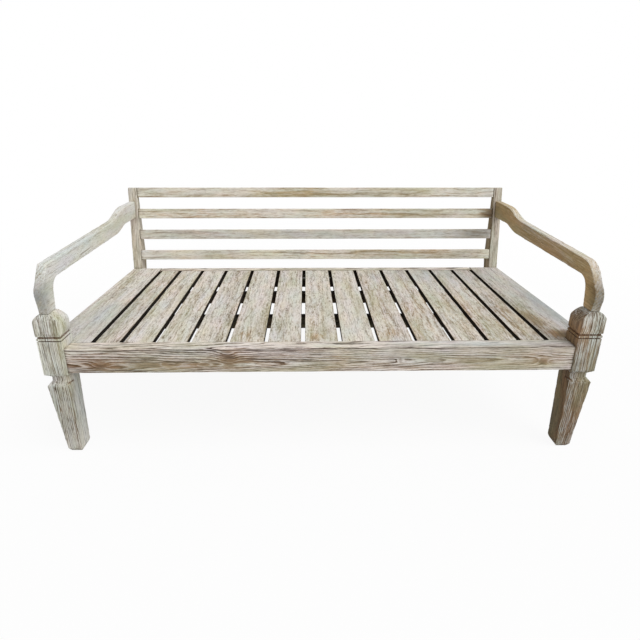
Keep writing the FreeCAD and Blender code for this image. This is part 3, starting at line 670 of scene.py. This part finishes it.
def end_grain():
    """Sawn peg ends: pores as dots, with a thin wash."""
    paint = bpy.data.materials.new("peg_end")
    bench = empty_bench(paint)
    spot = bench.add("ShaderNodeTexCoord", out="Object")
    dots = bench.noise(spot, (1400.0, 1400.0, 1400.0), 1.0)
    patch = bench.noise(spot, (90.0, 90.0, 90.0), 2.0)
    wood = bench.blend(dots.ramp(0.5, 0.65), srgb(134, 112, 86), srgb(78, 60, 44))
    colour = bench.blend(patch.ramp(0.4, 0.65) * 0.5, wood, srgb(206, 200, 190))
    bumps = bench.add("ShaderNodeBump", sockets={"Strength": 0.4, "Distance": 0.0005,
                                                 "Height": dots}, out="Normal")
    surface = bench.add("ShaderNodeBsdfPrincipled", sockets={
        "Base Color": colour, "Roughness": 0.9, "Specular IOR Level": 0.25, "Normal": bumps})
    bench.add("ShaderNodeOutputMaterial", sockets={"Surface": surface})
    return paint


finishes["screw_steel"] = plated_steel()
finishes["peg_wood"] = end_grain()
print("finishes:", ", ".join(sorted(finishes)))

# %% [markdown]
# ## Timber that has been outside
# Each piece starts as a copy of its CAD node, so its tenons, mortises and screw holes stay
# where they are. The copy has too few points to wear down. Straight timber is cut by many
# planes along and across its grain. Posts and arms are remeshed in small cubes instead,
# because their curved faces don't follow three directions.

# %% Copies with enough points
SHARP = math.radians(10)      # a corner sharper than this is an arris
HOLLOW = math.radians(-60)    # a hollow sharper than this is a crease
NO_HOLE = 0.009               # edges shorter than this belong to screw and peg holes
SAME_POINT = 1e-5             # corners of loose triangles that are this close are one
FLAT = math.radians(0.5)      # triangles that meet flatter than this are one face


def clean_copy(node):
    """The node's mesh, with its loose triangles joined into faces."""
    timber = bmesh.new()
    timber.from_mesh(cad[node].data)
    bmesh.ops.remove_doubles(timber, verts=timber.verts, dist=SAME_POINT)
    bmesh.ops.dissolve_limit(timber, angle_limit=FLAT, verts=timber.verts, edges=timber.edges)
    return timber


def wire_object(name, segments):
    """Loose edges as an object, for the nodes to measure from."""
    mesh = bpy.data.meshes.new(name)
    points = [point for segment in segments for point in segment]
    mesh.from_pydata(points, [(2 * i, 2 * i + 1) for i in range(len(segments))], [])
    return new_object(name, mesh)


def corner_wires(timber):
    """The arrises and the creases of a piece, each as a pair of points per edge."""
    arrises, creases = [], []
    for edge in timber.edges:
        if len(edge.link_faces) != 2 or edge.calc_length() < NO_HOLE:
            continue
        bend = edge.calc_face_angle_signed(0.0)
        ends = [tuple(vert.co) for vert in edge.verts]
        if bend > SHARP:
            arrises.append(ends)
        elif bend < HOLLOW:
            creases.append(ends)
    return arrises, creases


def cut_across(timber, direction, step):
    """Cuts every face where planes at even steps along direction cross it."""
    places = [vert.co.dot(direction) for vert in timber.verts]
    low, high = min(places), max(places)
    count = max(1, round((high - low) / step))
    for cut in range(1, count):
        point = direction * (low + (high - low) * cut / count)
        everything = timber.verts[:] + timber.edges[:] + timber.faces[:]
        bmesh.ops.bisect_plane(timber, geom=everything, plane_co=point, plane_no=direction,
                               dist=1e-6)


print("a seat board has", len(clean_copy("seat_slat_07").faces), "faces before it is cut")

# %% [markdown]
# ## Weathering in nodes
# Wear follows a rule, so Geometry Nodes do it for every piece alike. A point near an arris
# is pushed in by a slow, uneven amount, which leaves the edge rounded and nibbled. The whole
# face is then lifted and lowered in streaks along the grain. The tree also writes down, for
# the finish, where the point lies in its own board, how near it is to an arris, and how near
# it is to a neighbour or a crease, where dirt collects and shade is painted.

# %% The weathering tree
INPUTS = (("Timber", "NodeSocketGeometry", None), ("Along", "NodeSocketVector", (1, 0, 0)),
          ("Across", "NodeSocketVector", (0, 1, 0)), ("Middle", "NodeSocketVector", (0, 0, 0)),
          ("Board", "NodeSocketVector", (0, 0, 0)), ("Arrises", "NodeSocketObject", None),
          ("Creases", "NodeSocketObject", None), ("Neighbours", "NodeSocketObject", None),
          ("Arris Loss", "NodeSocketFloat", 0.0016), ("Arris Reach", "NodeSocketFloat", 0.005),
          ("Grain Lift", "NodeSocketFloat", 0.0006), ("Nook Reach", "NodeSocketFloat", 0.005),
          ("Seed", "NodeSocketFloat", 1.0), ("Finish", "NodeSocketMaterial", None))


def named_inputs(tree):
    """Gives the tree its inputs and its output."""
    for name, kind, value in INPUTS:
        socket = tree.interface.new_socket(name=name, in_out="INPUT", socket_type=kind)
        if value is not None:
            socket.default_value = value
    tree.interface.new_socket(name="Timber", in_out="OUTPUT", socket_type="NodeSocketGeometry")


def weathering_tree():
    """Wears and marks one piece of timber."""
    tree = bpy.data.node_groups.new("weathered_timber", "GeometryNodeTree")
    named_inputs(tree)
    bench = Bench(tree)
    entry = bench.add("NodeGroupInput").socket.node

    def given(name):
        return Wire(bench, bench.find(entry.outputs, name))

    place = bench.add("GeometryNodeInputPosition")
    normal = bench.add("GeometryNodeInputNormal")
    local = bench.vector("SUBTRACT", place, given("Middle"))
    through = bench.vector("CROSS_PRODUCT", given("Along"), given("Across"))
    ways = {"X": given("Along"), "Y": given("Across"), "Z": through}
    grain = bench.add("ShaderNodeCombineXYZ", sockets={
        axis: bench.vector("DOT_PRODUCT", local, way, out="Value") for axis, way in ways.items()})

    def nearness(target, kind, span):
        """1 on the target and 0 beyond the span, and 0 where there is no target."""
        thing = bench.add("GeometryNodeObjectInfo", {"transform_space": "ORIGINAL"},
                          {"Object": given(target)}, "Geometry")
        probe = bench.add("GeometryNodeProximity", {"target_element": kind}, {0: thing},
                          "Distance")
        found = Wire(bench, bench.find(probe.socket.node.outputs, "Is Valid"))
        away = bench.add("ShaderNodeMapRange", {"interpolation_type": "SMOOTHSTEP"},
                         {"Value": probe, "From Min": 0.0, "From Max": span})
        return (1.0 - away) * found

    wear = nearness("Arrises", "EDGES", given("Arris Reach"))
    crease = nearness("Creases", "EDGES", given("Nook Reach"))
    joint = nearness("Neighbours", "FACES", given("Nook Reach"))
    # Nearness to neighbours and creases, for dirt and painted shade in the corners
    nook = joint.math("MAXIMUM", joint * 0.4, crease)

    own = bench.vector("ADD", grain, bench.spread(given("Seed"), SEED_STEP))
    nibble = bench.noise(own, (28.0, 60.0, 60.0), 3.0, 0.6).ramp(0.3, 0.75)
    coarse = bench.noise(own, (6.0, 120.0, 120.0), 3.0, 0.6)
    bow = bench.noise(own, (2.0, 8.0, 8.0), 1.0)
    push = (coarse - 0.55) * given("Grain Lift") * 2.0
    push = push - wear * (0.25 + nibble) * given("Arris Loss")
    push = push + (bow - 0.5) * given("Grain Lift") * 1.6
    moved = bench.add("ShaderNodeVectorMath", {"operation": "SCALE"}, {0: normal, "Scale": push})

    notes = (("grain", "FLOAT_VECTOR", grain), ("wear", "FLOAT", wear),
             ("nook", "FLOAT", nook), ("board", "FLOAT_VECTOR", given("Board")))
    flow = given("Timber")
    for name, kind, value in notes:
        flow = bench.add("GeometryNodeStoreNamedAttribute",
                         {"data_type": kind, "domain": "POINT"},
                         {"Geometry": flow, "Name": name, "Value": value})
    flow = bench.add("GeometryNodeSetPosition", sockets={"Geometry": flow, "Offset": moved})
    flow = bench.add("GeometryNodeRealizeInstances", sockets={"Geometry": flow})
    flow = bench.add("GeometryNodeSetMaterial", sockets={"Geometry": flow,
                                                         "Material": given("Finish")})
    bench.add("NodeGroupOutput", sockets={"Timber": flow})
    return tree


weathering = weathering_tree()
print("weathering tree:", len(weathering.nodes), "nodes")

# %% [markdown]
# ## Making one weathered piece
# The copy, its arrises, its creases and its neighbours go into the tree, and what comes out
# becomes a plain mesh. A neighbour is any other wooden piece whose box comes within twelve
# millimetres. Faces that hands and brush reached less, and faces that lie in shade, get a
# mark of bareness and shade: a little of it thins the wash until brown wood shows, and much
# of it turns the face dark with old dirt and painted shade. A negative mark adds wash, partly
# as painted light.

# %% From a CAD node to weathered timber
BESIDE = 0.012                # boxes of neighbours are at most this far apart
SMOOTH_BELOW = math.radians(50)   # faces that meet more sharply aren't smoothed
node_boxes = {name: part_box(name) for name in cad}
wood_nodes = [name for name in sorted(cad) if "screws" not in name and "pegs" not in name]


def apart(node, other):
    """Whether two pieces' boxes lie too far from each other to be neighbours."""
    (low, high), (other_low, other_high) = node_boxes[node], node_boxes[other]
    return any(other_low[axis] > high[axis] + BESIDE or other_high[axis] < low[axis] - BESIDE
               for axis in range(3))


def neighbour_object(node):
    """One mesh of all the wooden pieces beside this one."""
    joined = bmesh.new()
    for other in wood_nodes:
        if other != node and not apart(node, other):
            joined.from_mesh(cad[other].data)
    mesh = bpy.data.meshes.new("beside_" + node)
    joined.to_mesh(mesh)
    joined.free()
    return new_object("beside_" + node, mesh)


def set_inputs(modifier, values):
    """Sets a tree's inputs by their identifiers, which their names are looked up for."""
    for item in modifier.node_group.interface.items_tree:
        if item.item_type == "SOCKET" and item.in_out == "INPUT" and item.name in values:
            modifier[item.identifier] = values[item.name]


def baked(name, holder):
    """The object's finished mesh as a new plain object."""
    graph = bpy.context.evaluated_depsgraph_get()
    mesh = bpy.data.meshes.new_from_object(holder.evaluated_get(graph),
                                           preserve_all_data_layers=True, depsgraph=graph)
    mesh.name = name
    return new_object(name, mesh)


def per_point(mesh, what):
    """Every point's place or normal, one row each."""
    values = np.zeros(len(mesh.vertices) * 3, np.float32)
    mesh.vertices.foreach_get(what, values)
    return values.reshape(-1, 3)


def mark_bare_and_shade(mesh, everywhere, directions):
    """Writes how bare each point is, with its painted shade, from the way that it faces."""
    facings = per_point(mesh, "normal")
    amounts = np.full(len(facings), everywhere, np.float32)
    for facing, share in directions:
        amounts += share * np.clip(facings @ np.array(facing, np.float32), 0, 1) ** 2
    marks = mesh.attributes.new("bare_and_shade", "FLOAT", "POINT")
    marks.data.foreach_set("value", amounts)


def stand_on_floor(mesh):
    """Flattens what the lifted grain pushed below the floor."""
    places = per_point(mesh, "co")
    places[:, 2] = np.maximum(places[:, 2], 0.0)
    mesh.vertices.foreach_set("co", places.ravel())


def round_foot(timber, reach=0.018, share=0.32):
    """Wears in the end that stands on the floor, where it was dragged and stood damp."""
    low = [vert for vert in timber.verts if vert.co.z < reach]
    middle = sum((vert.co for vert in low), Vector()) / len(low)
    for vert in low:
        vert.co.xy = vert.co.xy.lerp(middle.xy, share * (1.0 - vert.co.z / reach) ** 1.5)


def weathered(node, slot, along, across, board, cubes=None, steps=None, thin=0.0, bare_and_shade=(),
              loss=0.0016, foot=False):
    """Replaces a CAD node by its weathered twin.

    Along and across are the ways that its grain and its width run. Board is its seed, its
    extra light and its extra warmth. Cubes is the size of the cubes that remesh it, or else
    steps are how far apart the planes that cut it lie. Thin is how bare it is everywhere,
    and the list of facings how much barer it is on faces that turn one way, partly as
    painted shade; a negative share adds wash, partly as painted light.
    """
    timber = clean_copy(node)
    arrises, creases = corner_wires(timber)
    along, across = Vector(along).normalized(), Vector(across).normalized()
    if cubes is None:
        for direction, step in zip((along, across, along.cross(across)), steps):
            cut_across(timber, direction, step)
    if foot:
        round_foot(timber)
    mesh = bpy.data.meshes.new(node + "_blank")
    timber.to_mesh(mesh)
    timber.free()
    holder = new_object(node + "_blank", mesh)
    if cubes is not None:
        remesh = holder.modifiers.new("cubes", "REMESH")
        remesh.mode = "VOXEL"
        remesh.voxel_size = cubes
    low, high = node_boxes[node]
    helpers = [wire_object("arrises", arrises), wire_object("creases", creases),
               neighbour_object(node)]
    wear = holder.modifiers.new("weather", "NODES")
    wear.node_group = weathering
    set_inputs(wear, {"Along": tuple(along), "Across": tuple(across),
                      "Middle": tuple((low + high) / 2), "Board": tuple(map(float, board)),
                      "Arrises": helpers[0], "Creases": helpers[1], "Neighbours": helpers[2],
                      "Seed": float(board[0]), "Arris Loss": loss, "Finish": finishes[slot]})
    piece = baked(node + "_wood", holder)
    for extra in helpers + [holder]:
        bpy.data.objects.remove(extra)
    stand_on_floor(piece.data)
    mark_bare_and_shade(piece.data, thin, bare_and_shade)
    piece.data.shade_smooth()
    piece.data.set_sharp_from_angle(angle=SMOOTH_BELOW)
    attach(piece, "root")
    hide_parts(node)
    print(piece.name, len(piece.data.polygons), "faces")


# %% [markdown]
# ## The seat
# Thirteen boards of different widths lie between two end boards, which are notched round
# the front legs. They are flat timber, so cutting planes are enough. The walls of the gaps
# between them are dark with dirt and painted shade, and their undersides carry painted shade.
# Each board has its own place in the log, its own light and its own warmth: in the
# photograph the right half of the seat is warmer than the left.

# %% Seat boards
X, Y, Z = (1, 0, 0), (0, 1, 0), (0, 0, 1)
LEFT, FRONT, DOWN = (-1, 0, 0), (0, -1, 0), (0, 0, -1)
RIGHT, BACK, UP = X, Y, Z
# How far apart the cutting planes lie, along, across and through
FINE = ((0.010, 0.004, 0.007))
# Extra light, extra warmth and how thin the wash is, for each board from the left
board_looks = [(0.0, 0.10, 0.05), (0.02, 0.0, -0.02), (0.02, 0.08, 0.0), (-0.02, 0.0, 0.02),
               (0.0, 0.05, 0.0), (-0.01, 0.02, 0.02), (0.01, 0.12, 0.01), (0.01, 0.03, -0.05),
               (-0.03, 0.20, 0.07), (-0.02, 0.18, 0.05), (0.0, 0.08, -0.02),
               (0.04, 0.22, 0.05), (0.0, 0.20, 0.03)]
# Gap walls and undersides are darkened through the bare list: dirt and painted shade
for number, (light, warmth, thin) in enumerate(board_looks, start=1):
    weathered(f"seat_slat_{number:02d}", "seat_wood", Y, X, (number, light, warmth), steps=FINE,
              thin=thin, bare_and_shade=[(LEFT, 1.3), (RIGHT, 1.3), (DOWN, 0.5)])
weathered("seat_end_board_left", "seat_wood", Y, X, (21, 0.04, 0.0), steps=FINE,
          bare_and_shade=[(RIGHT, 1.3), (DOWN, 0.5)])
weathered("seat_end_board_right", "seat_wood", Y, X, (22, -0.06, 0.0), steps=FINE,
          bare_and_shade=[(LEFT, 1.3), (DOWN, 0.5)])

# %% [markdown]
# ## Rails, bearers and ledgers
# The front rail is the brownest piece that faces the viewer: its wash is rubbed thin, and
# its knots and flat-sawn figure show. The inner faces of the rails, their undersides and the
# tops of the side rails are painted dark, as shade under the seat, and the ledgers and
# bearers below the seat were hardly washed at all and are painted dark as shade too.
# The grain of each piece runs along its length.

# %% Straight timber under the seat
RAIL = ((0.010, 0.004, 0.004))
ROUGH = (0.060, 0.020, 0.020)
# Inner faces, undersides and side-rail tops under the seat get painted shade from their bare
# lists
weathered("front_rail", "rail_wood", X, Z, (31, 0.0, 0.0), steps=RAIL,
          bare_and_shade=[(DOWN, 0.3), (BACK, 1.0)])
weathered("back_rail", "rail_wood", X, Z, (32, 0.0, 0.0), steps=RAIL, bare_and_shade=[(FRONT, 1.2)])
weathered("side_rail_left", "rail_wood", Y, Z, (33, -0.02, 0.0), steps=RAIL,
          bare_and_shade=[(RIGHT, 1.0), (UP, 1.2)])
weathered("side_rail_right", "rail_wood", Y, Z, (34, -0.06, 0.1), steps=RAIL, thin=0.1,
          bare_and_shade=[(LEFT, 1.0), (UP, 1.2)])
# Ledgers and bearers: painted shade on their tops, under the seat
for number, node in enumerate(("front_ledger", "back_ledger", "cross_bearer_front",
                               "cross_bearer_rear"), start=35):
    weathered(node, "under_wood", X, Z, (number, 0.0, 0.0), steps=ROUGH, bare_and_shade=[(UP, 1.2)])

# %% [markdown]
# ## The back
# Three slats and a top rail of the same section lean back with the posts. The planes that
# cut them follow the same lean.

# %% Back slats
RAKE = (0.0, 0.1703, 0.9854)  # the way the posts lean
back_warmths = {"back_top_rail": 0.12, "back_slat_upper": 0.14, "back_slat_middle": -0.1,
                "back_slat_lower": 0.05}
for number, (node, warmth) in enumerate(back_warmths.items(), start=41):
    weathered(node, "back_wood", X, RAKE, (number, 0.0, warmth), steps=RAIL)

# %% [markdown]
# ## Legs, posts and arms
# These are sawn and carved from thick stock. The posts and arms curve, so they are remeshed
# in cubes. The legs are cut by planes like the boards, but in finer steps, because cubes
# would blur their grooves. Their feet are worn round where they stand on the floor.

# %% Carved timber
ARM_CLIMB = 0.03              # how steeply an arm's grain climbs through it
# The legs' steps, and the sizes of the cubes for the arms and the posts
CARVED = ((0.004, 0.004, 0.004))
ARM_CUBES, POST_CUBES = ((0.0023, 0.0026))


def run_of(node):
    """The way an arm runs from leg to post. Its plank lay nearly level in the log."""
    places = np.array([vert.co for vert in cad[node].data.vertices])
    places -= places.mean(axis=0)
    run = np.linalg.svd(places, full_matrices=False)[2][0]
    return Vector((run[0], run[1], run[1] * ARM_CLIMB))


# Right-facing faces, towards the lamp, keep more wash, and left-facing ones less: partly a
# thinner wash, partly painted light and shade
weathered("front_leg_left", "leg_wood", Z, X, (51, 0.06, 0.0), steps=CARVED,
          bare_and_shade=[(RIGHT, -0.3), (FRONT, 0.05)], foot=True)
weathered("front_leg_right", "leg_wood", Z, X, (52, -0.06, 0.26), steps=CARVED, thin=0.14,
          bare_and_shade=[(LEFT, 0.5)], foot=True)
weathered("back_post_left", "post_wood", RAKE, X, (53, 0.0, 0.08), POST_CUBES)
weathered("back_post_right", "post_wood", RAKE, X, (54, -0.06, 0.12), POST_CUBES,
          bare_and_shade=[(LEFT, 0.5)])
weathered("arm_left", "arm_wood", run_of("arm_left"), X, (55, 0.08, -0.14), ARM_CUBES,
          bare_and_shade=[(RIGHT, -0.3)], loss=0.001)
weathered("arm_right", "arm_wood", run_of("arm_right"), X, (56, 0.05, 0.48), ARM_CUBES,
          thin=0.10, bare_and_shade=[(LEFT, 0.36), (UP, 0.12)], loss=0.001)

# %% [markdown]
# ## Pegs and screws
# Pegs and screws are small and hardly weathered, so the CAD nodes are shown as they are,
# with a finish on each.

# %% Pegs and screws
small_pieces = [name for name in cad if name not in wood_nodes]
for name in small_pieces:
    kind = "screw_steel" if "screws" in name else "peg_wood"
    cad[name].data.materials.clear()
    cad[name].data.materials.append(finishes[kind])
print("pieces of pegs and screws:", len(small_pieces))
